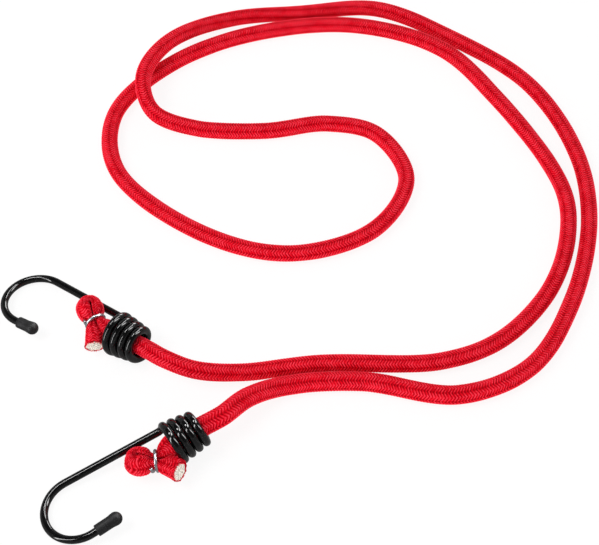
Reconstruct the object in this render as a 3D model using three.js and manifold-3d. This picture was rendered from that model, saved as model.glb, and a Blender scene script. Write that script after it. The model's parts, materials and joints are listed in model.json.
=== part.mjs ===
// Bungee cord with a coiled-wire hook on each end, laid out in loose loops. Millimetres, +Z up.
import * as THREE from 'three';
import { mergeVertices } from 'three/addons/utils/BufferGeometryUtils.js';
import ManifoldModule from 'manifold-3d';

const wasm = await ManifoldModule();
wasm.setup();
const { Manifold, Mesh } = wasm;

// Gap between two pieces that touch on the real object
const CLEARANCE = 0.3;

// Elastic cord: a woven cover round a bundle of latex strands
const CORD_DIAMETER = 8;
const COVER_WALL = 1;
const COVER_SIDES = 12;
const CORE_SIDES = 8;
const CORD_STEPS_PER_POINT = 2;
const CURVE_DIVISIONS_PER_STEP = 20;
// Length of cord beside each hook that takes up the stretch
const STRETCH_LENGTH = 56;

// Hook wire: tip, J bend, shank, corner and a tapered coil that turns on the cord
const WIRE_DIAMETER = 3.4;
const WIRE_SIDES = 12;
const TIP_LENGTH = 12;
const BEND_RADIUS = 14.2;
const BEND_ANGLE = THREE.MathUtils.degToRad(185.3);
const BEND_STEPS = 15;
const SHANK_LENGTH = 45.7;
const CORNER_RADIUS = 2.6;
const CORNER_STEPS = 5;
const COIL_LEAD_IN = 0.5;
const COIL_TURNS = 3.8;
const COIL_GAP = 0.4;
const COIL_PLAY = 0.7;
const COIL_FLARE = 1.8;
const COIL_STEPS_PER_TURN = 20;

// Tip cap
const CAP_DIAMETER = 5.6;
const CAP_END_WALL = 2;
const CAP_SIDES = 20;
const CAP_DOME_STEPS = 6;

// Knob on each cord end: the cord turns back through a crimp ring and is cut off.
// Places along the loop are measured from the middle of the ring.
const SEAM_SETBACK = 1.2;
const BULB_RADIUS = 6.1;
const BULB_START = 1.4;
const BULB_MIDDLE = 6.4;
const BULB_END = 12.3;
const BULB_FULLNESS = 2.6;
const BULB_STEPS = 10;
const WAIST_RADIUS = 3;
const NECK_RADIUS = 2.4;
const NECK_SETBACK = 3.5;
const NECK_SPREAD = 1.1;
const LEG_MID_RADIUS = 3.2;
const LEG_MID_AT = 0.35;
const TAIL_SHOULDER_RADIUS = 3.2;
const TAIL_SHOULDER_AT = 0.25;
const TAIL_MID_RADIUS = 3.3;
const TAIL_MID_AT = 0.65;
const TAIL_END_RADIUS = 4.2;
const TAIL_BORE_RADIUS = 3.2;
const TAIL_BORE_DEPTH = 2;
const END_CORE_PROUD = 0.3;
const KNOB_SIDES = 16;

// Crimp ring: a little over one turn of bare wire, with its two ends side by side
const RING_WIRE_DIAMETER = 1.6;
const RING_WIRE_SIDES = 6;
const RING_TURNS = 1.12;
const RING_LEAD = 2.3;
const RING_SETBACK = 0.42;
const RING_STEPS_PER_TURN = 24;

// How both hooks lie, with the bend and the foremost turn of the coil down on the surface
const HOOK_DROOP = THREE.MathUtils.degToRad(7.25);
const HOOK_ROLL = THREE.MathUtils.degToRad(6.2);

// Where each hook lies, and its knob in the hook's own axes: out along the coil, towards the tip, and up
const HOOK_A_X = -79;
const HOOK_A_Y = -40.4;
const HOOK_A_YAW = THREE.MathUtils.degToRad(144.35);
const LEG_A_END = 3;
const RING_A_OUT = 12.9;
const RING_A_SIDE = 1.9;
const RING_A_UP = 3.3;
const CUT_A_OUT = 6.1;
const CUT_A_SIDE = 10.8;
const CUT_A_UP = -1.8;
const HOOK_B_X = -54.25;
const HOOK_B_Y = -95.3;
const HOOK_B_YAW = THREE.MathUtils.degToRad(208.9);
const LEG_B_END = 0.5;
const RING_B_OUT = 9.2;
const RING_B_SIDE = 3.2;
const RING_B_UP = -0.5;
const CUT_B_OUT = 2.2;
const CUT_B_SIDE = 13.7;
const CUT_B_UP = -1.3;
const ENDS = [
  {
    name: 'a',
    x: HOOK_A_X,
    y: HOOK_A_Y,
    yaw: HOOK_A_YAW,
    legEnd: LEG_A_END,
    ring: new THREE.Vector3(RING_A_OUT, RING_A_SIDE, RING_A_UP),
    loopDirection: new THREE.Vector3(5.5, -3, 1.4).normalize(),
    cut: new THREE.Vector3(CUT_A_OUT, CUT_A_SIDE, CUT_A_UP),
  },
  {
    name: 'b',
    x: HOOK_B_X,
    y: HOOK_B_Y,
    yaw: HOOK_B_YAW,
    legEnd: LEG_B_END,
    ring: new THREE.Vector3(RING_B_OUT, RING_B_SIDE, RING_B_UP),
    loopDirection: new THREE.Vector3(5.7, -2.9, 0.8).normalize(),
    cut: new THREE.Vector3(CUT_B_OUT, CUT_B_SIDE, CUT_B_UP),
  },
];

// Middle of the cord from hook A to hook B, as it lies on the surface
const CORD_ROUTE = [
  [-45, -59.6, 10.6], [-25, -57.2, 4.8], [8, -52.2, 4], [62, -51, 4], [89, -40, 4], [113, -14, 4],
  [125.4, 18, 4], [125.8, 48, 4], [98, 107, 4], [72, 140.6, 4], [26, 157, 4], [-30, 148.6, 4],
  [-69, 126, 4], [-92, 94, 4], [-88, 57.5, 4], [-46, 20, 4], [-4.5, 8, 4], [35, 22, 4],
  [51.5, 53, 4], [37.5, 81.6, 4], [14, 88.2, 4], [-17, 83.4, 4], [-51, 84.8, 4.3], [-72, 91.6, 8.6],
  [-78.2, 110, 13.1], [-68, 135, 12.4], [-41, 159.5, 4.4], [2, 166.1, 4], [41, 168.8, 4], [79, 147.6, 4],
  [115.5, 115.6, 4], [135, 70, 4], [136.5, 27, 4], [122.5, -21, 4], [101, -54.2, 4], [69, -68.2, 4],
  [27, -61.6, 4], [-6, -64, 4.7], [-22, -72.6, 9.5],
];

const UP = new THREE.Vector3(0, 0, 1);
const LATHE_AXIS = new THREE.Vector3(0, 1, 0);
const WELD = 1e-4;

const cordRadius = CORD_DIAMETER / 2;
const boreRadius = cordRadius - COVER_WALL;
const wireRadius = WIRE_DIAMETER / 2;
const wireCorner = wireRadius / Math.cos(Math.PI / WIRE_SIDES);
const ringWireRadius = RING_WIRE_DIAMETER / 2;
const ringWireCorner = ringWireRadius / Math.cos(Math.PI / RING_WIRE_SIDES);
const coilPitch = WIRE_DIAMETER + COIL_GAP;
const coilRear = cordRadius + COIL_PLAY + wireRadius;
const coilFront = coilRear + COIL_FLARE;

const material = (color, roughness, metalness = 0) =>
  new THREE.MeshStandardMaterial({ color, roughness, metalness });
const braid = material('#c4162b', 0.8);
const latex = material('#d8c296', 0.7);
const coatedSteel = material('#141416', 0.25, 0.3);
const softCap = material('#36383b', 0.7);
const galvanised = material('#b8bdc3', 0.35, 0.9);

const part = new THREE.Group();

function addNode(name, geometry, nodeMaterial) {
  const mesh = new THREE.Mesh(geometry, nodeMaterial);
  mesh.name = name;
  part.add(mesh);
}

// A tube's path, with one ring of the tube at each point
class TubePath extends THREE.Curve {
  constructor(points, tangents) {
    super();
    this.points = points;
    this.tangents = tangents;
  }

  getPointAt(u, target = new THREE.Vector3()) {
    return target.copy(this.points[Math.round(u * (this.points.length - 1))]);
  }

  getTangentAt(u, target = new THREE.Vector3()) {
    return target.copy(this.tangents[Math.round(u * (this.points.length - 1))]);
  }
}

// A tube's path that keeps one flat of the tube underneath
class LevelPath extends TubePath {
  computeFrenetFrames() {
    const normals = this.tangents.map((along) => new THREE.Vector3().crossVectors(UP, along).normalize());
    const binormals = this.tangents.map((along, i) => new THREE.Vector3().crossVectors(along, normals[i]));
    return { tangents: this.tangents, normals, binormals };
  }
}

// Each ring of a wire stands square to the mean of the two runs that meet in it
function mitreTangents(points) {
  const runs = points.slice(1).map((point, i) => point.clone().sub(points[i]).normalize());
  return points.map((_, i) => {
    const before = runs[Math.max(i - 1, 0)];
    const after = runs[Math.min(i, runs.length - 1)];
    return before.clone().add(after).normalize();
  });
}

function polygon(radius, sides, Kind) {
  const corner = radius / Math.cos(Math.PI / sides);
  const points = Array.from({ length: sides }, (_, i) => {
    const angle = ((i + 0.5) * 2 * Math.PI) / sides;
    return new THREE.Vector2(corner * Math.cos(angle), corner * Math.sin(angle));
  });
  return new Kind(points);
}

function tube(section, path) {
  return new THREE.ExtrudeGeometry(section, {
    extrudePath: path,
    steps: path.points.length - 1,
    bevelEnabled: false,
  });
}

// Least gap of a bent wire to itself, between points that lie more than reach apart along it
function leastGap(points, corner, reach) {
  const along = [0];
  points.slice(1).forEach((point, i) => along.push(along[i] + point.distanceTo(points[i])));
  let least = Infinity;
  points.forEach((point, i) => {
    for (let j = i + 1; j < points.length; j += 1) {
      if (along[j] - along[i] > reach) least = Math.min(least, point.distanceTo(points[j]));
    }
  });
  return least - 2 * corner;
}

// Round solid between two points, from its radii given as [share of the length, radius]
function spindle(from, to, radii) {
  const axis = to.clone().sub(from);
  const length = axis.length();
  const profile = [new THREE.Vector2(0, 0)];
  radii.forEach(([share, radius]) => profile.push(new THREE.Vector2(radius, share * length)));
  profile.push(new THREE.Vector2(0, length));
  const geometry = new THREE.LatheGeometry(profile, KNOB_SIDES);
  geometry.applyQuaternion(new THREE.Quaternion().setFromUnitVectors(LATHE_AXIS, axis.normalize()));
  return geometry.translate(from.x, from.y, from.z);
}

// Radii of the bulb from ring to end, blunter than a ball at both ends
function bulbRadii() {
  const power = 2 / BULB_FULLNESS;
  return Array.from({ length: BULB_STEPS - 1 }, (_, i) => {
    const angle = (Math.PI * (i + 1)) / BULB_STEPS;
    const reach = Math.abs(Math.cos(angle)) ** power;
    const nearSide = Math.cos(angle) > 0;
    const place = nearSide
      ? BULB_MIDDLE - (BULB_MIDDLE - BULB_START) * reach
      : BULB_MIDDLE + (BULB_END - BULB_MIDDLE) * reach;
    return [(place - BULB_START) / (BULB_END - BULB_START), BULB_RADIUS * Math.sin(angle) ** power];
  });
}

function ball(centre, radius) {
  return new THREE.SphereGeometry(radius, KNOB_SIDES, KNOB_SIDES / 2)
    .translate(centre.x, centre.y, centre.z);
}

function solid(geometry) {
  const bare = geometry.clone();
  bare.deleteAttribute('normal');
  bare.deleteAttribute('uv');
  const welded = mergeVertices(bare, WELD);
  const corners = welded.index.array;
  const kept = [];
  for (let i = 0; i < corners.length; i += 3) {
    const [a, b, c] = [corners[i], corners[i + 1], corners[i + 2]];
    if (a !== b && b !== c && c !== a) kept.push(a, b, c);
  }
  return new Manifold(new Mesh({
    numProp: 3,
    vertProperties: new Float32Array(welded.attributes.position.array),
    triVerts: new Uint32Array(kept),
  }));
}

function geometryOf(body) {
  const mesh = body.getMesh();
  const geometry = new THREE.BufferGeometry();
  geometry.setAttribute('position', new THREE.BufferAttribute(mesh.vertProperties, 3));
  geometry.setIndex(new THREE.BufferAttribute(mesh.triVerts, 1));
  geometry.computeVertexNormals();
  return geometry;
}

// Hook wire, from the end of its tip to the last turn of its coil
const bendCentre = new THREE.Vector3(SHANK_LENGTH, BEND_RADIUS - coilFront, 0);
const bendEndAngle = BEND_ANGLE - Math.PI / 2;
const onBend = (angle) => new THREE.Vector3(Math.cos(angle), Math.sin(angle), 0)
  .multiplyScalar(BEND_RADIUS)
  .add(bendCentre);
const bendEnd = onBend(bendEndAngle);
const tipDirection = new THREE.Vector3(-Math.sin(bendEndAngle), Math.cos(bendEndAngle), 0);
const alongTip = (distance) => bendEnd.clone().addScaledVector(tipDirection, distance);
const onCoil = (x, radius, turn) =>
  new THREE.Vector3(x, -radius * Math.cos(turn), radius * Math.sin(turn));

const wirePoints = [alongTip(TIP_LENGTH - CAP_END_WALL)];
for (let i = 0; i <= BEND_STEPS; i += 1) {
  wirePoints.push(onBend(bendEndAngle - (BEND_ANGLE * i) / BEND_STEPS));
}
const coilSlope = Math.atan(coilPitch / (2 * Math.PI * coilFront));
const cornerSweep = Math.PI / 2 - coilSlope;
const cornerStart = COIL_LEAD_IN + CORNER_RADIUS;
for (let i = 0; i <= CORNER_STEPS; i += 1) {
  const sweep = (cornerSweep * i) / CORNER_STEPS;
  const around = CORNER_RADIUS * (1 - Math.cos(sweep));
  wirePoints.push(onCoil(cornerStart - CORNER_RADIUS * Math.sin(sweep), coilFront, around / coilFront));
}
const coilStart = cornerStart - CORNER_RADIUS * Math.sin(cornerSweep);
const coilStartTurn = (CORNER_RADIUS * (1 - Math.cos(cornerSweep))) / coilFront;
const coilSteps = Math.round(COIL_TURNS * COIL_STEPS_PER_TURN);
for (let i = 1; i <= coilSteps; i += 1) {
  const share = i / coilSteps;
  wirePoints.push(onCoil(
    coilStart - coilPitch * COIL_TURNS * share,
    coilFront - COIL_FLARE * share,
    coilStartTurn + 2 * Math.PI * COIL_TURNS * share,
  ));
}
const coilEnd = coilStart - coilPitch * COIL_TURNS;
const wireGap = leastGap(wirePoints, wireCorner, 2 * BEND_RADIUS);
console.log('hook wire, least gap to itself', wireGap.toFixed(2), 'mm');
const wireGeometry = tube(
  polygon(wireRadius, WIRE_SIDES, THREE.Shape),
  new TubePath(wirePoints, mitreTangents(wirePoints)),
);

// Tip cap: a blind bore over the wire and a domed end
const capRadius = CAP_DIAMETER / 2;
const capBore = wireCorner + CLEARANCE;
const capBoreEnd = TIP_LENGTH - CAP_END_WALL + CLEARANCE;
const capProfile = [
  new THREE.Vector2(0, capBoreEnd),
  new THREE.Vector2(capBore, capBoreEnd),
  new THREE.Vector2(capBore, CLEARANCE),
  new THREE.Vector2(capRadius, CLEARANCE),
];
for (let i = 0; i < CAP_DOME_STEPS; i += 1) {
  const angle = (Math.PI / 2) * (i / CAP_DOME_STEPS);
  const rise = capRadius * Math.sin(angle);
  capProfile.push(new THREE.Vector2(capRadius * Math.cos(angle), TIP_LENGTH - capRadius + rise));
}
capProfile.push(new THREE.Vector2(0, TIP_LENGTH));
const capGeometry = new THREE.LatheGeometry(capProfile, CAP_SIDES);
capGeometry.applyQuaternion(new THREE.Quaternion().setFromUnitVectors(LATHE_AXIS, tipDirection));
capGeometry.translate(bendEnd.x, bendEnd.y, bendEnd.z);

// The cord meets its knob on the coil's axis, behind the coil, and runs on straight for one diameter
const seam = coilEnd - wireRadius - SEAM_SETBACK;
const straightEnd = seam - CORD_DIAMETER;

// Each hook is turned as it lies and then set down on the surface
function poseOf(end) {
  const turn = new THREE.Euler(HOOK_ROLL, HOOK_DROOP, end.yaw, 'ZYX');
  const pose = new THREE.Matrix4().makeRotationFromEuler(turn);
  const turned = wireGeometry.clone().applyMatrix4(pose);
  turned.computeBoundingBox();
  return pose.setPosition(end.x, end.y, -turned.boundingBox.min.z);
}

ENDS.forEach((end) => {
  const pose = poseOf(end);

  // Cord end: leg through the coil, loop through the ring, and cut tail
  const legEnd = new THREE.Vector3(end.legEnd, 0, 0);
  const alongLoop = (distance) => end.ring.clone().addScaledVector(end.loopDirection, distance);
  const neck = alongLoop(-NECK_SETBACK);
  const toLeg = legEnd.clone().sub(end.cut);
  toLeg.addScaledVector(end.loopDirection, -toLeg.dot(end.loopDirection)).normalize();
  const legNeck = neck.clone().addScaledVector(toLeg, NECK_SPREAD);
  const tailNeck = neck.clone().addScaledVector(toLeg, -NECK_SPREAD);
  const inTail = tailNeck.clone().sub(end.cut).normalize();
  const alongTail = (depth) => end.cut.clone().addScaledVector(inTail, depth);
  const pieces = [
    spindle(new THREE.Vector3(seam + CLEARANCE / 2, 0, 0), legEnd, [[0, cordRadius], [1, cordRadius]]),
    ball(legEnd, cordRadius),
    spindle(legNeck, legEnd, [[0, NECK_RADIUS], [LEG_MID_AT, LEG_MID_RADIUS], [1, cordRadius]]),
    ball(legNeck, NECK_RADIUS),
    spindle(neck, alongLoop(BULB_MIDDLE), [[0, WAIST_RADIUS], [1, WAIST_RADIUS]]),
    spindle(alongLoop(BULB_START), alongLoop(BULB_END), bulbRadii()),
    ball(tailNeck, NECK_RADIUS),
    spindle(tailNeck, end.cut, [
      [0, NECK_RADIUS],
      [TAIL_SHOULDER_AT, TAIL_SHOULDER_RADIUS],
      [TAIL_MID_AT, TAIL_MID_RADIUS],
      [1, TAIL_END_RADIUS],
    ]),
  ];
  const bore = spindle(alongTail(-TAIL_BORE_DEPTH), alongTail(TAIL_BORE_DEPTH), [
    [0, TAIL_BORE_RADIUS],
    [1, TAIL_BORE_RADIUS],
  ]);
  const endLoop = Manifold.union(pieces.map(solid)).subtract(solid(bore));
  addNode(`end_loop_${end.name}`, geometryOf(endLoop).applyMatrix4(pose), braid);

  const endCoreRadius = TAIL_BORE_RADIUS - CLEARANCE;
  const endCore = spindle(alongTail(TAIL_BORE_DEPTH - CLEARANCE), alongTail(-END_CORE_PROUD), [
    [0, endCoreRadius],
    [1, endCoreRadius],
  ]);
  addNode(`end_core_${end.name}`, endCore.applyMatrix4(pose), latex);

  // Crimp ring, with its two ends on the tail's side
  const ringRadius = WAIST_RADIUS + CLEARANCE + ringWireCorner;
  const toTail = toLeg.clone().negate();
  const across = new THREE.Vector3().crossVectors(end.loopDirection, toTail);
  const ringSteps = Math.round(RING_TURNS * RING_STEPS_PER_TURN);
  const ringPoints = Array.from({ length: ringSteps + 1 }, (_, i) => {
    const turns = RING_TURNS * (i / ringSteps - 0.5);
    const angle = 2 * Math.PI * turns + Math.PI;
    return alongLoop(RING_LEAD * turns - RING_SETBACK)
      .addScaledVector(toTail, ringRadius * Math.cos(angle))
      .addScaledVector(across, ringRadius * Math.sin(angle));
  });
  const ringGap = leastGap(ringPoints, ringWireCorner, Math.PI * ringRadius);
  console.log(`crimp ring ${end.name}, least gap to itself`, ringGap.toFixed(2), 'mm');
  const ring = tube(
    polygon(ringWireRadius, RING_WIRE_SIDES, THREE.Shape),
    new TubePath(ringPoints, mitreTangents(ringPoints)),
  );
  addNode(`crimp_ring_${end.name}`, ring.applyMatrix4(pose), galvanised);

  addNode(`hook_wire_${end.name}`, wireGeometry.clone().applyMatrix4(pose), coatedSteel);
  addNode(`tip_cap_${end.name}`, capGeometry.clone().applyMatrix4(pose), softCap);
});

// The origin is on the surface, mid between the hooks
const origin = new THREE.Box3().setFromObject(part).getCenter(new THREE.Vector3()).setZ(0);
console.log('origin in the layout', origin.x.toFixed(3), origin.y.toFixed(3), 'mm');

// Free cord between the two knobs, in a middle run and the stretch beside each hook
const [poseA, poseB] = ENDS.map(poseOf);
const onAxis = (x, pose) => new THREE.Vector3(x, 0, 0).applyMatrix4(pose);
const cordPoints = [
  onAxis(seam, poseA),
  onAxis(straightEnd, poseA),
  ...CORD_ROUTE.map((place) => new THREE.Vector3(...place)),
  onAxis(straightEnd, poseB),
  onAxis(seam, poseB),
];
const cordCurve = new THREE.CatmullRomCurve3(cordPoints, false, 'centripetal');
cordCurve.arcLengthDivisions = (cordPoints.length - 1) * CORD_STEPS_PER_POINT * CURVE_DIVISIONS_PER_STEP;
const cordLength = cordCurve.getLength();
const cordSteps = cordCurve.getLengths().filter((_, i) => i % CURVE_DIVISIONS_PER_STEP === 0);
console.log('free cord, seam to seam', cordLength.toFixed(1), 'mm');

function cordPath(start, end) {
  const inner = cordSteps.filter((at) => at > start + cordRadius && at < end - cordRadius);
  const places = [start, ...inner, end].map((at) => at / cordLength);
  const points = places.map((u) => cordCurve.getPointAt(u));
  points.forEach((point) => point.setZ(Math.max(point.z, cordRadius)));
  return new LevelPath(points, places.map((u) => cordCurve.getTangentAt(u)));
}

const coverSection = polygon(cordRadius, COVER_SIDES, THREE.Shape);
coverSection.holes.push(polygon(boreRadius, CORE_SIDES, THREE.Path));
const coreSection = polygon(boreRadius - CLEARANCE, CORE_SIDES, THREE.Shape);
const half = CLEARANCE / 2;
const runs = [
  ['braided_cover', 'rubber_core', STRETCH_LENGTH + half, cordLength - STRETCH_LENGTH - half],
  ['stretch_cover_a', 'stretch_core_a', half, STRETCH_LENGTH - half],
  ['stretch_cover_b', 'stretch_core_b', cordLength - STRETCH_LENGTH + half, cordLength - half],
];
runs.forEach(([cover, core, start, end]) => {
  const path = cordPath(start, end);
  addNode(cover, tube(coverSection, path), braid);
  addNode(core, tube(coreSection, path), latex);
});

part.children.forEach((mesh) => mesh.geometry.translate(-origin.x, -origin.y, -origin.z));

export default part;
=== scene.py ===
# Bungee cord: a braided elastic cord in loose loops, with a coiled wire hook knotted on at each end
import json
import math

import bmesh
import bpy
from mathutils import Matrix, Vector, noise


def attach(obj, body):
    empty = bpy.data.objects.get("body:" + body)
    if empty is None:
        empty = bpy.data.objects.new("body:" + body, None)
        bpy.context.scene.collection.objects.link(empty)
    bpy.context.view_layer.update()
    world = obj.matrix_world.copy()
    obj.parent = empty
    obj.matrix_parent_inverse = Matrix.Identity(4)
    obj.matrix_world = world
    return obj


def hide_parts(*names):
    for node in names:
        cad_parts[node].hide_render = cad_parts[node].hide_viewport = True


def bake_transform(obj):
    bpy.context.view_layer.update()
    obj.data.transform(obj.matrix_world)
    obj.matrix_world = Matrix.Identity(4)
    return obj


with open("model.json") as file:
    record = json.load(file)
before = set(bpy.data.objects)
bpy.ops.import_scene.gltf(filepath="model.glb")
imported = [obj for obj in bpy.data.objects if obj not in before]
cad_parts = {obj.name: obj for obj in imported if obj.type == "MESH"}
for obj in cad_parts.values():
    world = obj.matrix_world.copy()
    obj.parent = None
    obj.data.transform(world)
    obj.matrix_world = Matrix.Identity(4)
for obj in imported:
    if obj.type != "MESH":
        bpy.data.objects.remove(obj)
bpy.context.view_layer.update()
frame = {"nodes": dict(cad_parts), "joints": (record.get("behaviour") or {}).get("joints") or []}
joints = {joint["name"]: joint for joint in frame["joints"]}
mm = 0.001
up = Vector((0, 0, 1))
print("frame loaded,", len(frame["nodes"]), "nodes")


# Camera at the photograph's viewing angle

cameraView = {
    "target": (0.086526, 0.070684, 0.0),
    "distance": 0.667,
    "elevation": 54.2,      # degrees above the surface
    "lens": 86.66,
    "sensor": 36.0,
}


def setCamera(view):
    rise = math.radians(view["elevation"])
    data = bpy.data.cameras.new("camera")
    data.lens = view["lens"]
    data.sensor_width = view["sensor"]
    data.clip_start, data.clip_end = 0.01, 50
    camera = bpy.data.objects.new("camera", data)
    back = Vector((0, -math.cos(rise), math.sin(rise)))
    camera.location = Vector(view["target"]) + back * view["distance"]
    camera.rotation_euler = (math.pi / 2 - rise, 0, 0)
    bpy.context.scene.collection.objects.link(camera)
    bpy.context.scene.camera = camera


setCamera(cameraView)
print("camera set")


# Small helpers for meshes, shader nodes and colours

def hexColour(code):  # sRGB hex to the linear colour that a shader takes
    parts = [int(code[i:i + 2], 16) / 255 for i in (1, 3, 5)]
    linear = [c / 12.92 if c <= 0.04045 else ((c + 0.055) / 1.055) ** 2.4 for c in parts]
    return (*linear, 1.0)


def connect(tree, node, inputs):
    for socket, value in inputs.items():
        if isinstance(value, bpy.types.NodeSocket):
            tree.links.new(value, node.inputs[socket])
        else:
            node.inputs[socket].default_value = value


def addNode(tree, kind, inputs=None, **settings):
    node = tree.nodes.new(kind)
    for name, value in settings.items():
        setattr(node, name, value)
    connect(tree, node, inputs or {})
    return node


def maths(tree, operation, *values):
    return addNode(tree, "ShaderNodeMath", dict(enumerate(values)), operation=operation).outputs[0]


def ramp(tree, value, limits):  # limits: from low, from high, to low, to high
    return addNode(tree, "ShaderNodeMapRange", {0: value, **dict(enumerate(limits, 1))}).outputs[0]


def speckle(tree, size, detail):  # noise over the whole piece, in patches of about this size
    spot = addNode(tree, "ShaderNodeTexCoord")
    inputs = {"Vector": spot.outputs["Object"], "Scale": 1 / size, "Detail": detail}
    return addNode(tree, "ShaderNodeTexNoise", inputs).outputs["Fac"]


def tint(tree, share, first, second):
    return addNode(tree, "ShaderNodeMix", {0: share, 6: first, 7: second}, data_type="RGBA").outputs[2]


def relief(tree, height, strength, depth):
    inputs = {"Strength": strength, "Distance": depth, "Height": height}
    return addNode(tree, "ShaderNodeBump", inputs).outputs[0]


def newMaterial(name):
    material = bpy.data.materials.new(name)
    material.use_nodes = True
    tree = material.node_tree
    return material, tree, tree.nodes["Principled BSDF"]


def newPiece(name, bm, material, smooth=True):
    mesh = bpy.data.meshes.new(name)
    for face in bm.faces:
        face.smooth = smooth
    bm.to_mesh(mesh)
    bm.free()
    mesh.materials.append(material)
    piece = bpy.data.objects.new(name, mesh)
    bpy.context.scene.collection.objects.link(piece)
    return piece


def gridTube(bm, rows, sides, place):
    # a flat grid rolled into a tube: place(row, side) says where each of its points goes
    before = set(bm.verts)
    uvLayer = bm.loops.layers.uv.get("UVMap") or bm.loops.layers.uv.new("UVMap")
    made = bmesh.ops.create_grid(bm, x_segments=sides, y_segments=rows, size=1, calc_uvs=True)
    verts = [v for v in made["verts"] if v not in before]
    for vert in verts:
        side = round((vert.co.x + 1) / 2 * sides)
        row = round((vert.co.y + 1) / 2 * rows)
        vert.co = place(row, side % sides)
    bmesh.ops.remove_doubles(bm, verts=verts, dist=1e-7)
    return uvLayer


def closeEnds(bm):
    rims = [edge for edge in bm.edges if edge.is_boundary]
    for edge in rims:
        edge.smooth = False
    bmesh.ops.holes_fill(bm, edges=rims, sides=0)
    bmesh.ops.recalc_face_normals(bm, faces=bm.faces[:])


def mix(a, b, share):
    return a + (b - a) * share


# Braid: polypropylene yarn, plaited over the rubber. Fine broken chevrons in twelve bands round the
# cord, drawn as painted highlight on the yarns' tops and painted shade between them. There is a painted
# highlight along the spine and painted shade in the valley between pairs of bands, a painted sheen along
# the cord's edges, and the shader's own sheen there as well.

braidFinish = {
    # painted shade and highlight: the valley colour is the yarn's red darkened as painted shade, the crest
    # colour the yarn's red lightened as a painted highlight; the uneven patches and yarn flecks move along
    # the same range
    "yarn": "#EA061E",
    "paintedCrestHighlight": "#FF4054",
    "paintedValleyShade": "#A4000E",
    "lean": 1.0,                            # picks that a yarn climbs across one band
    "cloud": 5.0 * mm,                      # size of the uneven patches,
    "cloudShare": 0.6,                      # and how much they lighten
    "dash": 1.3 * mm,                       # length over which a yarn shows and goes under again,
    "shown": (0.35, 0.65, 0.12, 0.55),      # and how clearly it shows
    "fuzz": 0.35 * mm,                      # broken filaments
    "fuzzHeight": 0.7,
    "paintedSpineHighlight": (0.5, 1.0, 0.0, 0.14),         # painted highlight along the spine of a pair of bands
    "paintedGrooveShade": (-0.5, -1.0, 0.0, -0.30),     # painted shade in the valley between two pairs
    "lift": 0.14,
    "low": (0.0, 0.45, 0.0, 1.0),           # from painted valley shade to the yarn's own red,
    "high": (0.45, 0.95, 0.0, 1.0),         # and from the yarn's own red to painted crest highlight
    "rim": (0.45, 0.95, 0.0, 0.6),          # painted sheen: base colour lighter where the surface turns away from the eye
    "bump": (0.8, 0.12 * mm),
    "rough": (0.2, 0.8, 0.5, 0.72),
    "ior": 1.49,
    "specular": 0.015,
    "sheen": "#FF3048",                     # light that the filaments catch along the cord's edges
    "sheenWeight": 0.5,
    "sheenRough": 0.4,
}


def makeBraid(name, finish, fleck):  # fleck: how much single yarns differ
    material, tree, shader = newMaterial(name)
    uv = addNode(tree, "ShaderNodeUVMap", uv_map="UVMap")
    place = addNode(tree, "ShaderNodeSeparateXYZ", {0: uv.outputs[0]})
    band, pick = place.outputs[0], place.outputs[1]
    odd = maths(tree, "FLOORED_MODULO", maths(tree, "FLOOR", band), 2.0)
    lean = maths(tree, "MULTIPLY_ADD", odd, 2 * finish["lean"], -finish["lean"])
    course = maths(tree, "MULTIPLY_ADD", band, lean, pick)
    yarn = maths(tree, "COSINE", maths(tree, "MULTIPLY", course, 2 * math.pi))
    spine = maths(tree, "COSINE", maths(tree, "MULTIPLY", band, math.pi))
    cloud = speckle(tree, finish["cloud"], 3.0)
    fuzz = speckle(tree, finish["fuzz"], 2.0)
    dash = speckle(tree, finish["dash"], 1.0)
    # painted sheen: how far the surface turns away from the eye, used below to lighten the base colour at
    # the cord's edges
    edge = addNode(tree, "ShaderNodeLayerWeight", {"Blend": 0.5}).outputs["Facing"]

    # painted highlight on the tops of the yarns and along the band spines, painted shade between the yarns
    # and in the valleys; the uneven patches and single-yarn flecks added after it are the yarn's own tone
    shown, paintedSpineHighlight = ramp(tree, dash, finish["shown"]), ramp(tree, spine, finish["paintedSpineHighlight"])
    light = maths(tree, "MULTIPLY_ADD", yarn, shown, paintedSpineHighlight)
    light = maths(tree, "MULTIPLY_ADD", cloud, finish["cloudShare"], light)
    light = maths(tree, "ADD", light, ramp(tree, spine, finish["paintedGrooveShade"]))
    light = maths(tree, "MULTIPLY_ADD", dash, fleck, light)
    light = maths(tree, "ADD", light, finish["lift"] - fleck / 2)
    # painted sheen: the base colour is lifted towards the crest colour along the cord's edges
    light = maths(tree, "ADD", light, ramp(tree, edge, finish["rim"]))
    low, high = ramp(tree, light, finish["low"]), ramp(tree, light, finish["high"])
    body = tint(tree, low, hexColour(finish["paintedValleyShade"]), hexColour(finish["yarn"]))
    height = maths(tree, "MULTIPLY_ADD", fuzz, finish["fuzzHeight"], yarn)
    connect(tree, shader, {
        "Base Color": tint(tree, high, body, hexColour(finish["paintedCrestHighlight"])),
        "Roughness": ramp(tree, fuzz, finish["rough"]),
        "Normal": relief(tree, height, *finish["bump"]),
        "IOR": finish["ior"],
        "Specular IOR Level": finish["specular"],
        "Sheen Weight": finish["sheenWeight"],
        "Sheen Roughness": finish["sheenRough"],
        "Sheen Tint": hexColour(finish["sheen"]),
    })
    return material


# Latex: cut ends of natural rubber strands, chalky beige with grey dust in the cuts.

latexFinish = {
    "rubber": "#FFF8EC",
    "grime": "#A0968A",
    "speck": 0.5 * mm,
    "dust": (0.48, 0.66, 0.0, 0.9),
    "bump": (0.5, 0.08 * mm),
    "rough": 0.75,
    "ior": 1.52,
}


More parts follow.
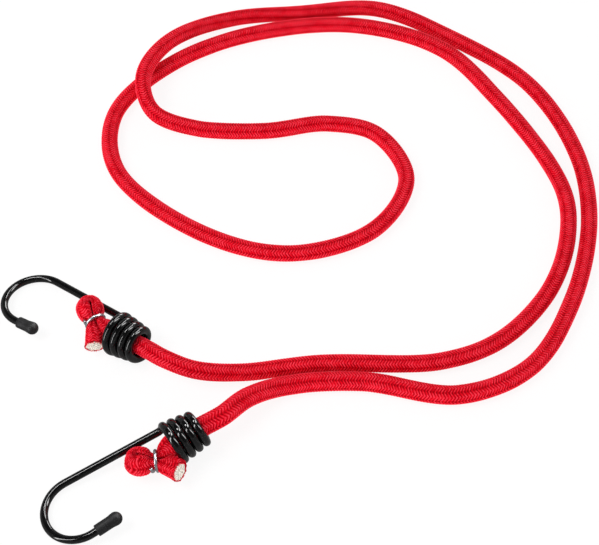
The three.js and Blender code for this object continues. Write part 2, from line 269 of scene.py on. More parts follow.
def makeLatex(finish):
    material, tree, shader = newMaterial("naturalLatex")
    speck = speckle(tree, finish["speck"], 3.0)
    dust = ramp(tree, speck, finish["dust"])
    connect(tree, shader, {
        "Base Color": tint(tree, dust, hexColour(finish["rubber"]), hexColour(finish["grime"])),
        "Normal": relief(tree, speck, *finish["bump"]),
        "Roughness": finish["rough"],
        "IOR": finish["ior"],
    })
    return material


# Galvanised wire: zinc drawn bright, blue-grey with small dull spots.

zincFinish = {
    "bright": "#D4D9DD",
    "dull": "#8C949B",
    "spot": 0.8 * mm,
    "bloom": (0.4, 0.7, 0.0, 1.0),
    "rough": (0.3, 0.7, 0.18, 0.38),
}


def makeZinc(finish):
    material, tree, shader = newMaterial("galvanisedWire")
    spot = speckle(tree, finish["spot"], 4.0)
    bloom = ramp(tree, spot, finish["bloom"])
    connect(tree, shader, {
        "Base Color": tint(tree, bloom, hexColour(finish["bright"]), hexColour(finish["dull"])),
        "Roughness": ramp(tree, spot, finish["rough"]),
        "Metallic": 1.0,
    })
    return material


# Coated steel: wire dipped in black enamel, with a wet gloss, a slight ripple and dull scuffs.

enamelFinish = {
    "black": "#060607",
    "scuffed": "#0B0B0C",
    "ripple": 6.0 * mm,
    "wear": 4.0 * mm,
    "scuff": (0.5, 0.7, 0.0, 1.0),
    "rough": (0.4, 0.75, 0.07, 0.15),
    "bump": (0.02, 0.1 * mm),
    "ior": 1.5,
    "specular": 0.5,
}


def makeEnamel(finish):
    material, tree, shader = newMaterial("blackEnamel")
    ripple = speckle(tree, finish["ripple"], 1.0)
    wear = speckle(tree, finish["wear"], 5.0)
    scuff = ramp(tree, wear, finish["scuff"])
    connect(tree, shader, {
        "Base Color": tint(tree, scuff, hexColour(finish["black"]), hexColour(finish["scuffed"])),
        "Roughness": ramp(tree, wear, finish["rough"]),
        "Normal": relief(tree, ripple, *finish["bump"]),
        "IOR": finish["ior"],
        "Specular IOR Level": finish["specular"],
    })
    return material


# Soft cap: dipped vinyl, dark grey and matte, with a fine pebble and paler rubbed patches.

vinylFinish = {
    "grey": "#151517",
    "pale": "#212123",
    "pebble": 0.25 * mm,
    "patch": 3.0 * mm,
    "rubbed": (0.45, 0.7, 0.0, 1.0),
    "bump": (0.35, 0.05 * mm),
    "rough": 0.5,
    "ior": 1.53,
    "specular": 0.3,
}


def makeVinyl(finish):
    material, tree, shader = newMaterial("dippedVinyl")
    pebble = speckle(tree, finish["pebble"], 2.0)
    patch = speckle(tree, finish["patch"], 3.0)
    rubbed = ramp(tree, patch, finish["rubbed"])
    connect(tree, shader, {
        "Base Color": tint(tree, rubbed, hexColour(finish["grey"]), hexColour(finish["pale"])),
        "Normal": relief(tree, pebble, *finish["bump"]),
        "Roughness": finish["rough"],
        "IOR": finish["ior"],
        "Specular IOR Level": finish["specular"],
    })
    return material


braid = makeBraid("polypropyleneBraid", braidFinish, fleck=0.2)
gathered = makeBraid("gatheredBraid", braidFinish, fleck=1.4)
latex = makeLatex(latexFinish)
zinc = makeZinc(zincFinish)
enamel = makeEnamel(enamelFinish)
vinyl = makeVinyl(vinylFinish)
print("materials made")


# Hooks lie as their swivels say: x out along the coil, y from the shank towards the tip

hook = {
    "roll": math.radians(6.2),
    "seam": -16.833 * mm,        # where the knob's cord meets the free cord, on the coil's axis
    "straight": -24.833 * mm,    # the cord runs on straight to here
}


def hookMatrix(end):
    swivel = joints["swivel_" + end]
    axis = Vector(swivel["axis"])
    yaw = math.atan2(axis.y, axis.x)
    droop = math.asin(-axis.z)
    roll = Matrix.Rotation(hook["roll"], 4, "X")
    turn = Matrix.Rotation(yaw, 4, "Z") @ Matrix.Rotation(droop, 4, "Y") @ roll
    return Matrix.Translation(swivel["pos_m"]) @ turn


hookPlace = {end: hookMatrix(end) for end in "ab"}


# Free cord: the route of the solid's middle, in metres, on one smooth curve from knob to knob

cord = {
    "shift": (0.086526, 0.070684, 0.0),    # the part's origin is between the hooks
    "route": [
        (-0.045, -0.0596, 0.0106), (-0.025, -0.0572, 0.0048), (0.008, -0.0522, 0.004),
        (0.062, -0.051, 0.004), (0.089, -0.04, 0.004), (0.113, -0.014, 0.004), (0.1254, 0.018, 0.004),
        (0.1258, 0.048, 0.004), (0.098, 0.107, 0.004), (0.072, 0.1406, 0.004), (0.026, 0.157, 0.004),
        (-0.03, 0.1486, 0.004), (-0.069, 0.126, 0.004), (-0.092, 0.094, 0.004), (-0.088, 0.0575, 0.004),
        (-0.046, 0.02, 0.004), (-0.0045, 0.008, 0.004), (0.035, 0.022, 0.004), (0.0515, 0.053, 0.004),
        (0.0375, 0.0816, 0.004), (0.014, 0.0882, 0.004), (-0.017, 0.0834, 0.004),
        (-0.051, 0.0848, 0.0043), (-0.072, 0.0916, 0.0086), (-0.0782, 0.11, 0.0131),
        (-0.068, 0.135, 0.0124), (-0.041, 0.1595, 0.0044), (0.002, 0.1661, 0.004), (0.041, 0.1688, 0.004),
        (0.079, 0.1476, 0.004), (0.1155, 0.1156, 0.004), (0.135, 0.07, 0.004), (0.1365, 0.027, 0.004),
        (0.1225, -0.021, 0.004), (0.101, -0.0542, 0.004), (0.069, -0.0682, 0.004), (0.027, -0.0616, 0.004),
        (-0.006, -0.064, 0.0047), (-0.022, -0.0726, 0.0095),
    ],
    "diameter": 8 * mm,
    "radius": 3.92 * mm,
    "slack": 0.07,           # the run that comes to hook B is this much thicker,
    "slackLength": (100 * mm, 220 * mm),
    "push": 0.055,           # and bulges again where it is pushed up against the coil
    "pushLength": (8 * mm, 45 * mm),
    "sides": 24,
    "bands": 12,             # chevron half-columns round the cord
    "pick": 1.3 * mm,        # one yarn every 1.3 mm along the cord
    "yarnRelief": 0.07 * mm,
    "bandRelief": 0.10 * mm,
    "lumps": 0.10 * mm,
    "lumpSize": 14 * mm,
    "twist": [(0.7, 0.083, 0.0), (0.5, 0.19, 1.3)],      # turn, the length it takes, and where it starts
    "stretchLength": 56 * mm,
    "curveSteps": 60,
}


def smoothCurve(points, steps):  # centripetal, with a straight run-out at both ends
    line = []
    padded = [points[0] * 2 - points[1], *points, points[-1] * 2 - points[-2]]
    for i in range(len(points) - 1):
        p0, p1, p2, p3 = padded[i:i + 4]
        d0, d1, d2 = (p1 - p0).length ** 0.5, (p2 - p1).length ** 0.5, (p3 - p2).length ** 0.5
        leave = ((p1 - p0) / d0 - (p2 - p0) / (d0 + d1) + (p2 - p1) / d1) * d1
        arrive = ((p2 - p1) / d1 - (p3 - p1) / (d1 + d2) + (p3 - p2) / d2) * d1
        count = steps[i] if isinstance(steps, list) else steps
        for j in range(count):
            t = j / count
            line.append(
                p1 * (2 * t ** 3 - 3 * t ** 2 + 1) + leave * (t ** 3 - 2 * t ** 2 + t)
                + p2 * (3 * t ** 2 - 2 * t ** 3) + arrive * (t ** 3 - t ** 2)
            )
    line.append(points[-1])
    return line


def evenly(line, count):  # the same line with its points at equal spacing, and its length
    reach = [0.0]
    for a, b in zip(line, line[1:]):
        reach.append(reach[-1] + (b - a).length)
    spaced, i = [], 0
    for n in range(count + 1):
        goal = reach[-1] * n / count
        while i < len(line) - 2 and reach[i + 1] < goal:
            i += 1
        share = (goal - reach[i]) / (reach[i + 1] - reach[i])
        spaced.append(mix(line[i], line[i + 1], share))
    return spaced, reach[-1]


def tangents(line):
    last = len(line) - 1
    return [(line[min(i + 1, last)] - line[max(i - 1, 0)]).normalized() for i in range(last + 1)]


shift = Vector(cord["shift"])
axisA, axisB = [Vector(joints["swivel_" + end]["axis"]) for end in "ab"]
centreA, centreB = [Vector(joints["swivel_" + end]["pos_m"]) for end in "ab"]
routePoints = [
    centreA + axisA * hook["seam"],
    centreA + axisA * hook["straight"],
    *[Vector(point) + shift for point in cord["route"]],
    centreB + axisB * hook["straight"],
    centreB + axisB * hook["seam"],
]
cordLine = smoothCurve(routePoints, cord["curveSteps"])
cordRows = 2 * round(evenly(cordLine, 1)[1] / cord["pick"])
cordCentres, cordLength = evenly(cordLine, cordRows)
cordAlong = tangents(cordCentres)
rowLength = cordLength / cordRows


def fading(distance, near, far):  # one up to the near distance, falling smoothly to nothing
    share = min(1, max(0, (far - distance) / (far - near)))
    return share * share * (3 - 2 * share)


def cordSwell(row):
    left = (cordRows - row) * rowLength
    slack = cord["slack"] * fading(left, *cord["slackLength"])
    return 1 + slack + cord["push"] * fading(left, *cord["pushLength"])


for row, centre in enumerate(cordCentres):
    centre.z = max(centre.z, cord["diameter"] / 2 * cordSwell(row))
stretchRows = round(cord["stretchLength"] / rowLength)
print("free cord, seam to seam", round(cordLength, 4), "m in", cordRows, "rows")


def braidRelief(row, side):  # height of the plaited surface over the cord's mean radius
    height = cord["yarnRelief"] if (row + side) % 2 == 0 else -cord["yarnRelief"]
    return height + cord["bandRelief"] * math.cos(math.pi * side * cord["bands"] / cord["sides"])


def cordTwist(row):  # the bands wander slowly round the cord
    along = row * rowLength
    return sum(turn * math.sin(along / length + begin) for turn, length, begin in cord["twist"])


def cordSide(row, side):  # direction from the cord's middle to a point of its surface
    across = up.cross(cordAlong[row]).normalized()
    over = cordAlong[row].cross(across)
    angle = 2 * math.pi * side / cord["sides"] + cordTwist(row)
    return across * math.cos(angle) + over * math.sin(angle)


def cordPoint(row, side):
    centre, out = cordCentres[row], cordSide(row, side)
    lump = noise.noise((centre + out * cord["radius"]) / cord["lumpSize"]) * cord["lumps"]
    return centre + out * (cord["radius"] * cordSwell(row) + braidRelief(row, side) + lump)


def braidFaces(bm, uvLayer, firstRow, rows, wander=lambda spot: 0.0):
    # UVs count bands round the cord and picks along it, and each band is split along its own yarns
    leaning = {0: [], 1: []}
    for face in bm.faces:
        for loop in face.loops:
            u, v = loop[uvLayer].uv
            loop[uvLayer].uv = (u * cord["bands"], (firstRow + v * rows) / 2 + wander(loop.vert.co))
        middle = sum(loop[uvLayer].uv.x for loop in face.loops) / len(face.loops)
        leaning[int(middle) % 2].append(face)
    for parity, method in ((0, "FIXED"), (1, "ALTERNATE")):
        bmesh.ops.triangulate(bm, faces=leaning[parity], quad_method=method)


def makeCord(name, firstRow, lastRow):
    bm = bmesh.new()
    rows = lastRow - firstRow
    uvLayer = gridTube(bm, rows, cord["sides"], lambda row, side: cordPoint(firstRow + row, side))
    braidFaces(bm, uvLayer, firstRow, rows)
    closeEnds(bm)
    return newPiece(name, bm, braid)


mainEnd = cordRows - stretchRows
mainCord = makeCord("mainCord", stretchRows, mainEnd)
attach(mainCord, "cord")
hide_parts("braided_cover", "rubber_core")

stretchA = makeCord("stretchCordA", 0, stretchRows)
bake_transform(stretchA)
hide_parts("stretch_cover_a", "stretch_core_a")

stretchB = makeCord("stretchCordB", mainEnd, cordRows)
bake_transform(stretchB)
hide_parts("stretch_cover_b", "stretch_core_b")
print("cords made")


# Hook wire, in millimetres in the hook's own axes: cap, bend, shank, corner and tapered coil

wire = {
    "radius": 1.7,
    "coilRadius": 1.84,      # drawn thicker than the rest, so that the turns nearly touch
    "sides": 24,
    "tip": 12.0,
    "tipShares": (1, 0.66, 0.33),
    "capWall": 2.0,
    "cut": [(0.0, 0.55), (0.12, 0.86), (0.3, 1.0)],      # in from the end, and share of the radius there
    "bendRadius": 14.2,
    "bendAngle": math.radians(185.3),
    "bendSteps": 48,
    "shank": 45.7,
    "shankSteps": 24,
    "cornerRadius": 2.6,
    "cornerSteps": 12,
    "leadIn": {"a": 1.5, "b": -0.6},
    "lean": {"a": 0.7, "b": 0.2},      # the turns lean forward on the tip's side
    "turns": 3.8,
    "pitch": 3.8,
    "front": 8.2,            # from the cord's middle to the shank
    "bulge": 0.4,            # the foremost turn is this much wider, and hangs off the middle by as much
    "rear": 6.4,             # coil radius at the cord
    "turnSteps": 44,
}
wireCentre = Vector((wire["shank"], wire["bendRadius"] - wire["front"], 0))
wireBendEnd = wire["bendAngle"] - math.pi / 2
tipStart = wireCentre + Vector((math.cos(wireBendEnd), math.sin(wireBendEnd), 0)) * wire["bendRadius"]
tipAlong = Vector((-math.sin(wireBendEnd), math.cos(wireBendEnd), 0))


def onCoil(end, x, share, turn):
    bulge = wire["bulge"] * (1 - share)
    radius = mix(wire["front"] + wire["bulge"], wire["rear"], share)
    far = (1 - math.cos(turn)) / 2      # none at the shank's side, one at the tip's side
    return Vector((
        x + wire["lean"][end] * far,
        bulge - radius * math.cos(turn),
        bulge * far + radius * math.sin(turn),
    ))


def wirePath(end):
    tipReach = wire["tip"] - wire["capWall"]
    points = [tipStart + tipAlong * tipReach * share for share in wire["tipShares"]]
    for i in range(wire["bendSteps"] + 1):
        angle = wireBendEnd - wire["bendAngle"] * i / wire["bendSteps"]
        points.append(wireCentre + Vector((math.cos(angle), math.sin(angle), 0)) * wire["bendRadius"])
    cornerStart = wire["leadIn"][end] + wire["cornerRadius"]
    for i in range(1, wire["shankSteps"]):
        x = mix(wire["shank"], cornerStart, i / wire["shankSteps"])
        points.append(Vector((x, -wire["front"], 0)))
    sweep = math.pi / 2 - math.atan(wire["pitch"] / (2 * math.pi * wire["front"]))
    for i in range(wire["cornerSteps"] + 1):
        bent = sweep * i / wire["cornerSteps"]
        turn = wire["cornerRadius"] * (1 - math.cos(bent)) / wire["front"]
        points.append(onCoil(end, cornerStart - wire["cornerRadius"] * math.sin(bent), 0, turn))
    radii = [wire["radius"]] * len(points)
    coilStart, turnStart = points[-1].x, turn
    steps = round(wire["turns"] * wire["turnSteps"])
    for i in range(1, steps + 1):
        share = i / steps
        points.append(onCoil(
            end, coilStart - wire["pitch"] * wire["turns"] * share, share,
            turnStart + 2 * math.pi * wire["turns"] * share,
        ))
        radii.append(mix(wire["radius"], wire["coilRadius"], min(1, i / wire["cornerSteps"])))
    return points, radii


def bentWire(name, points, radii, sides, material, place):
    # round wire along a line, its cut ends slightly rounded
    along = tangents(points)
    first, last = radii[0], radii[-1]
    lengths = [(points[0], along[0], depth * first, share * first) for depth, share in wire["cut"]]
    lengths += [(p, direction, 0, radius) for p, direction, radius in zip(points, along, radii)][1:-1]
    lengths += [(points[-1], along[-1], -depth * last, share * last) for depth, share in wire["cut"][::-1]]
    out = lengths[0][1].orthogonal().normalized()
    rings = []
    for point, direction, depth, radius in lengths:
        out = (out - direction * out.dot(direction)).normalized()
        other = direction.cross(out)
        angles = [2 * math.pi * k / sides for k in range(sides)]
        rings.append([
            place @ (point + direction * depth + (out * math.cos(a) + other * math.sin(a)) * radius)
            for a in angles
        ])
    bm = bmesh.new()
    gridTube(bm, len(rings) - 1, sides, lambda row, side: rings[row][side])
    closeEnds(bm)
    return newPiece(name, bm, material)


for end in "ab":
    toFrame = hookPlace[end] @ Matrix.Scale(mm, 4)
    piece = bentWire("hookWire" + end.upper(), *wirePath(end), wire["sides"], enamel, toFrame)
    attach(piece, "hook_" + end)
    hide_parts("hook_wire_" + end)
print("hook wires bent")


# Tip cap: a turned profile, radius and height in millimetres along the tip, from bore to dome

cap = {
    "mouth": [
        (1.74, 3.0), (1.74, 0.2), (1.82, 0.04), (2.3, 0.0), (2.48, 0.06), (2.56, 0.25), (2.58, 2.5),
    ],
    "neck": [(2.58, -5.6), (2.64, -4.9), (2.78, -4.1)],      # heights down from the top
    "head": 2.88,            # radius of the ball end
    "start": {"a": 1.6, "b": 1.4},
    "top": {"a": 12.0, "b": 13.3},
    "domeSteps": 12,
    "steps": 40,
}


def makeCap(end):
    bm = bmesh.new()
    top = cap["top"][end]
    profile = [(radius, rise + cap["start"][end]) for radius, rise in cap["mouth"]]
    profile += [(radius, top + drop) for radius, drop in cap["neck"]]
    for i in range(cap["domeSteps"] + 1):
        angle = math.pi / 2 * i / cap["domeSteps"]
        profile.append((cap["head"] * math.cos(angle), top - cap["head"] * (1 - math.sin(angle))))
    verts = [bm.verts.new((radius, 0, rise)) for radius, rise in profile]
    edges = [bm.edges.new(pair) for pair in zip(verts, verts[1:])]
    bmesh.ops.spin(bm, geom=verts + edges, cent=(0, 0, 0), axis=(0, 0, 1), angle=2 * math.pi,
                   steps=cap["steps"], use_merge=True)
    bmesh.ops.remove_doubles(bm, verts=bm.verts[:], dist=1e-4)
    closeEnds(bm)
    place = hookPlace[end] @ Matrix.Scale(mm, 4) @ Matrix.Translation(tipStart)
    stand = tipAlong.to_track_quat("Z", "X").to_matrix().to_4x4()
    bmesh.ops.transform(bm, matrix=place @ stand, verts=bm.verts[:])
    return newPiece("tipCap" + end.upper(), bm, vinyl)


for end in "ab":
    piece = makeCap(end)
    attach(piece, "hook_" + end)
    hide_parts("tip_cap_" + end)
print("tip caps turned")


# Knob: the cord's end goes through the coil, is folded back on itself through the ring and cut off.
# Millimetres in the hook's axes. Two strands lie side by side, with a crease between them.

knob = {
    "a": {
        "legEnd": 3.0,
        "ring": (12.9, 1.9, 3.3),
        "loop": (5.5, -3.0, 1.4),
        "cut": (6.1, 10.8, -1.8),
        "fork": 0.4,                     # how far the leg fills out towards the tail
    },
    "b": {
        "legEnd": 0.5,
        "ring": (9.2, 3.2, -0.5),
        "loop": (5.7, -2.9, 0.8),
        "cut": (2.2, 13.7, -1.3),
        "fork": 1.3,
    },
    "gap": 0.08,
    "legPlaces": (-13, -9, -5),          # sections of the leg, along the coil's axis
    "legLast": (4.0, 1.6),               # and two more, back from the leg's end
    # share of the way from the leg's end to the ring, with the reach from the crease, to it and across
    "legSwell": [(0.28, 3.85, 4.9, 3.9), (0.66, 3.35, 4.4, 3.6)],
    "neck": (2.6, 2.2, 3.2, 0.4),        # the same under the ring, and how flat the strands are there
    "neckBack": 2.7,
    "neckSide": 2.0,
    "flat": 0.7,                         # of the two strands in the bulb
    "waistInner": 0.9,
    "waist": [(-0.4, 3.3), (1.0, 3.6), (1.8, 4.8), (2.6, 5.45), (3.7, 5.85), (5.0, 6.07), (6.4, 6.1)],
    # share of the way from the waist to the cut, with the reach from the crease, to it and across
    "tail": {
        "a": [(0.3, 3.3, 3.9, 3.5), (0.62, 3.6, 4.3, 3.8), (0.85, 4.0, 4.5, 4.1), (1.0, 4.35, 4.5, 4.35)],
        "b": [(0.3, 3.3, 5.4, 3.5), (0.62, 3.6, 6.3, 3.8), (0.85, 4.0, 6.2, 4.1), (1.0, 4.35, 5.0, 4.35)],
    },
    "tilt": {"a": math.radians(14), "b": math.radians(9)},      # of the cut, up towards the viewer
    "crease": 1.2,           # how far the crease is off the middle of the bulb, on the leg's side
    "legInner": 1.4,
    "tailInner": 2.2,
    "bulbMiddle": 6.4,
    "bulbReach": 5.9,
    "bulbSteps": 8,
    "rowLength": 0.65,
    "crumple": 0.26,
    "crumpleSize": 2.2 * mm,
    "crumpleFrom": 14,       # how far along the leg the crumple begins,
    "crumpleFade": 6,        # and over how much it grows
    "wander": 0.9,           # picks that the yarns are pulled out of line
    "wanderSize": 3.0 * mm,
    "wanderLength": (12 * mm, 20 * mm),
    "fray": 0.5,
    "coverWall": 0.3,
    "rim": [(0.6, -0.05), (1.0, 0.25), (1.0, 1.6)],      # share of the wall, and depth in from the cut
}

# Loose yarn ends round the cut: each length and lean is a mean and how far it varies
tuft = {
    "count": 30,
    "sides": 5,
    "radius": (0.24, 0.09),
    "length": (0.7, 0.5),
    "lean": (0.15, 0.3),
    "stray": 0.4,
    "circle": 3.8,
    "rooted": 0.25,
}


class Strand:
    # one section of the cord: its middle, the way out from the crease, and how far it reaches each way
    def __init__(self, centre, outer, inner, half, flat=0.0, out=None, across=None):
        self.centre, self.outer, self.inner, self.half, self.flat = centre, outer, inner, half, flat
        self.out, self.across = out, across

    def ring(self, turn, sides):
        points = []
        for k in range(sides):
            angle = turn + 2 * math.pi * k / sides
            c, s = math.cos(angle), math.sin(angle)
            if c >= 0:
                x, y = self.outer * c, self.half * s
            else:
                power = 1 - 0.5 * self.flat
                x = -self.inner * abs(c) ** power
                y = self.half * math.copysign(abs(s) ** power, s)
            points.append(self.centre + self.out * x + self.across * y)
        return points


def knobFrame(end):
    part = knob[end]
    ring, cut = Vector(part["ring"]), Vector(part["cut"])
    loop = Vector(part["loop"]).normalized()
    legEnd = Vector((part["legEnd"], 0, 0))
    toLeg = legEnd - cut
    toLeg = (toLeg - loop * toLeg.dot(loop)).normalized()
    return ring, loop, toLeg, legEnd, cut


def knobStrands(end):
    ring, loop, toLeg, legEnd, cut = knobFrame(end)
    across = loop.cross(toLeg)
    full = cord["radius"] / mm * cordSwell(0 if end == "a" else cordRows)
    legNeck = ring - loop * knob["neckBack"] + toLeg * knob["neckSide"]
    tailNeck = ring - loop * knob["neckBack"] - toLeg * knob["neckSide"]
    places = (hook["seam"] / mm, *knob["legPlaces"], *[legEnd.x - back for back in knob["legLast"]])
    leg = [Vector((x, 0, 0)) for x in places]
    strands = [Strand(point, full, full, full) for point in leg]
    for share, outer, inner, side in knob["legSwell"]:
        strands.append(Strand(mix(legEnd, legNeck, share), outer, inner, side))
    strands.append(Strand(legNeck, *knob["neck"]))
    for strand in strands[len(leg) - 1:len(leg) + 1]:
        strand.inner += knob[end]["fork"]

    legSide, tailSide = [], []
    for reach, size in knob["waist"]:
        share = max(0, reach) / knob["bulbMiddle"]
        crease = knob["crease"] * share
        legLine = crease + knob["gap"] + mix(knob["waistInner"], knob["legInner"], share)
        tailLine = crease - knob["gap"] - mix(knob["waistInner"], knob["tailInner"], share)
        for line, way, strandList in ((legLine, 1, legSide), (tailLine, -1, tailSide)):
            inner = way * (line - crease) - knob["gap"]
            half = size * math.sqrt(1 - (line / size) ** 2)
            strandList.append(Strand(
                ring + loop * reach + toLeg * line, size - way * line, inner, half, knob["flat"],
                toLeg * way, across,
            ))
    turn = []
    pivot = ring + loop * knob["bulbMiddle"] + toLeg * knob["crease"]
    for i in range(1, knob["bulbSteps"]):
        share = i / knob["bulbSteps"]
        angle = math.pi * share
        out = toLeg * math.cos(angle) + loop * math.sin(angle)
        size = mix(knob["waist"][-1][1], knob["bulbReach"], math.sin(angle) ** 2)
        beside, beyond = knob["crease"] * math.sin(angle), knob["crease"] * math.cos(angle)
        reach = -beyond + math.sqrt(size ** 2 - beside ** 2)
        inner = mix(legSide[-1].inner, tailSide[-1].inner, share)
        turn.append(Strand(
            pivot + out * (inner + knob["gap"]), reach - inner - knob["gap"], inner,
            mix(legSide[-1].half, tailSide[-1].half, share), knob["flat"], out, across,
        ))
    strands += legSide + turn + tailSide[::-1]
    strands.append(Strand(tailNeck, *knob["neck"]))
    for share, outer, inner, side in knob["tail"][end]:
        strands.append(Strand(mix(tailNeck, cut, share), outer, inner, side))

    lines = tangents([strand.centre for strand in strands])
    half = len(strands) // 2
    tailLine = (cut - tailNeck).normalized()
    rise = math.radians(cameraView["elevation"])
    viewer = hookPlace[end].to_3x3().inverted() @ Vector((0, -math.cos(rise), math.sin(rise)))
    viewer = (viewer - tailLine * viewer.dot(tailLine)).normalized()
    for i, strand in enumerate(strands):
        if strand.out is None:
            along = Vector((1, 0, 0)) if i < len(leg) - 1 else lines[i]
            if i >= len(strands) - 4:
                tilt = knob["tilt"][end] * (i == len(strands) - 1)
                along = tailLine * math.cos(tilt) + viewer * math.sin(tilt)
            out = toLeg if i < half else -toLeg
            strand.out = (out - along * out.dot(along)).normalized()
            strand.across = along.cross(strand.out)
    return strands, len(leg)


def loft(rings, rowLength):  # rows of points through the section rings, about one row length apart
    steps = []
    for a, b in zip(rings, rings[1:]):
        steps.append(max(1, round(max((p - q).length for p, q in zip(a, b)) / rowLength)))
    lines = [smoothCurve(list(points), steps) for points in zip(*rings)]
    return [list(row) for row in zip(*lines)]


def makeKnob(end):
    toFrame = hookPlace[end] @ Matrix.Scale(mm, 4)
    turnOnly = hookPlace[end].to_3x3()
    sides = cord["sides"]
    strands, legCount = knobStrands(end)
    seamRow = 0 if end == "a" else cordRows
    start = turnOnly.inverted() @ cordSide(seamRow, 0)
    phase = math.atan2(start.dot(strands[0].across), start.dot(strands[0].out))
    repeat = 4 * math.pi / cord["bands"]                    # two bands, after which the plait repeats
    phase -= repeat * round(phase / repeat)
    rings = []
    for i, strand in enumerate(strands):
        rings.append(strand.ring(phase * max(0, 1 - i / legCount), sides))
    rows = loft(rings, knob["rowLength"])
    count = len(rows) - 1
    tail = strands[-1]
    tailAlong = tail.out.cross(tail.across)
    if tailAlong.dot(tail.centre - strands[-2].centre) < 0:
        tailAlong = -tailAlong

    surface = []
    for row, ring in enumerate(rows):
        middle = sum(ring, Vector()) / sides
        along = row * knob["rowLength"] - knob["crumpleFrom"]
        fade = min(1, max(0, along / knob["crumpleFade"]))
        placed = []
        for side, point in enumerate(ring):
            out = (point - middle).normalized()
            whole = seamRow - row if end == "a" else seamRow + row
            counted = -side if end == "a" else side
            spot = toFrame @ point
            height = braidRelief(whole, counted) + noise.noise(spot / cord["lumpSize"]) * cord["lumps"]
            height += fade * knob["crumple"] * mm * noise.noise(spot / knob["crumpleSize"])
            placed.append(spot + turnOnly @ out * height)
        surface.append(placed)

    # the cover's cut edge is ragged, and its wall goes back inside round the rubber
    direction = (turnOnly @ tailAlong).normalized()
    middle = toFrame @ tail.centre
    for side in range(sides):
        ragged = noise.noise(Vector((side * 0.9, 3.1, 7.7 if end == "a" else 1.9))) * knob["fray"] * mm
        surface[-1][side] = surface[-1][side] + direction * ragged
    for wall, depth in knob["rim"]:
        inside = []
        for side in range(sides):
            rim = surface[count][side]
            inward = (middle - rim).normalized() * knob["coverWall"] * wall * mm
            inside.append(rim + inward - direction * depth * mm)
        surface.append(inside)

    bm = bmesh.new()
    total = len(surface) - 1
    if end == "a":
        surface = [[ring[-side % sides] for side in range(sides)] for ring in reversed(surface)]
    uvLayer = gridTube(bm, total, sides, lambda row, side: surface[row][side])
    seamSpot = surface[-1 if end == "a" else 0][0]

    def wander(spot):
        pulled = 1 - fading((spot - seamSpot).length, *knob["wanderLength"])
        return pulled * knob["wander"] * noise.noise(spot / knob["wanderSize"])

    braidFaces(bm, uvLayer, -total if end == "a" else cordRows, total, wander)
    closeEnds(bm)

    for i in range(tuft["count"]):
        stray = tuft["stray"] * noise.noise(Vector((i * 1.7, 0.3, 0.9)))
        angle = 2 * math.pi * (i + stray) / tuft["count"]
        length = tuft["length"][0] + tuft["length"][1] * noise.noise(Vector((i * 2.3, 5.1, 0.2)))
        spread = tuft["lean"][0] + tuft["lean"][1] * noise.noise(Vector((i * 3.1, 8.2, 4.4)))
        out = tail.out * math.cos(angle) + tail.across * math.sin(angle)
        lean = (tailAlong + out * spread).normalized()
        root = tail.centre + out * tuft["circle"] - tailAlong * tuft["rooted"]
        upright = lean.to_track_quat("Z", "X").to_matrix().to_4x4()
        stand = Matrix.Translation(root + lean * length / 2) @ upright
        bmesh.ops.create_cone(bm, cap_ends=True, segments=tuft["sides"], radius1=tuft["radius"][0],
                              radius2=tuft["radius"][1], depth=length, matrix=toFrame @ stand)
    return newPiece("knob" + end.upper(), bm, gathered), tail, tailAlong


# Rubber in the cut tail: the ends of a bundle of square-cut strands, a little uneven

core = {
    "spacing": 0.88,
    "circles": 4,
    "radius": 0.46,
    "sides": 8,
    "bevel": 0.09,
    "rim": 0.1,              # how far under its top a strand's edge is looked for
    "depth": 1.8,
    "uneven": 0.14,
    "stray": 0.12,
    "backing": 3.9,          # a plug behind the strands, so that no gap shows through
    "backingSides": 32,
    "backingDepth": 1.0,
    "backingLevel": -0.75,
}


def makeCore(end, tail, tailAlong):
    bm = bmesh.new()
    toFrame = hookPlace[end] @ Matrix.Scale(mm, 4)
    turn = Matrix((tail.out, tail.across, tailAlong)).transposed().to_4x4()
    stand = toFrame @ Matrix.Translation(tail.centre) @ turn
    reach = core["circles"]
    for i in range(-reach, reach + 1):
        for j in range(-reach, reach + 1):
            if abs(i + j) > reach:
                continue
            stray = Vector((noise.noise(Vector((i, j, 0.5))), noise.noise(Vector((i, j, 9.5))), 0))
            spot = Vector(((i + j / 2), j * math.sqrt(3) / 2, 0)) * core["spacing"] + stray * core["stray"]
            top = core["uneven"] * noise.noise(Vector((i * 1.3, j * 1.7, 4.2)))
            middle = spot + Vector((0, 0, top - core["depth"] / 2))
            made = bmesh.ops.create_cone(bm, cap_ends=True, segments=core["sides"], radius1=core["radius"],
                                         radius2=core["radius"], depth=core["depth"],
                                         matrix=Matrix.Translation(middle))
            level = top - core["rim"]
            rim = {edge for vert in made["verts"] if vert.co.z > level for edge in vert.link_edges
                   if all(v.co.z > level for v in edge.verts)}
            bmesh.ops.bevel(bm, geom=list(rim), offset=core["bevel"], offset_type="OFFSET", segments=1,
                            profile=0.5, affect="EDGES", material=-1)
    plug = Matrix.Translation((0, 0, core["backingLevel"]))
    bmesh.ops.create_cone(bm, cap_ends=True, segments=core["backingSides"], radius1=core["backing"],
                          radius2=core["backing"], depth=core["backingDepth"], matrix=plug)
    bmesh.ops.transform(bm, matrix=stand, verts=bm.verts[:])
    bmesh.ops.recalc_face_normals(bm, faces=bm.faces[:])
    return newPiece("cutRubber" + end.upper(), bm, latex, smooth=False)


# Crimp ring: a little more than one turn of bare wire in the waist of the knob,
# with its ends on the tail's side

crimp = {
    "wire": 0.8,
    "sides": 12,
    "radius": 4.224,
    "turns": 1.12,
    "lead": 2.3,
    "setback": 0.42,
    "steps": 64,
}


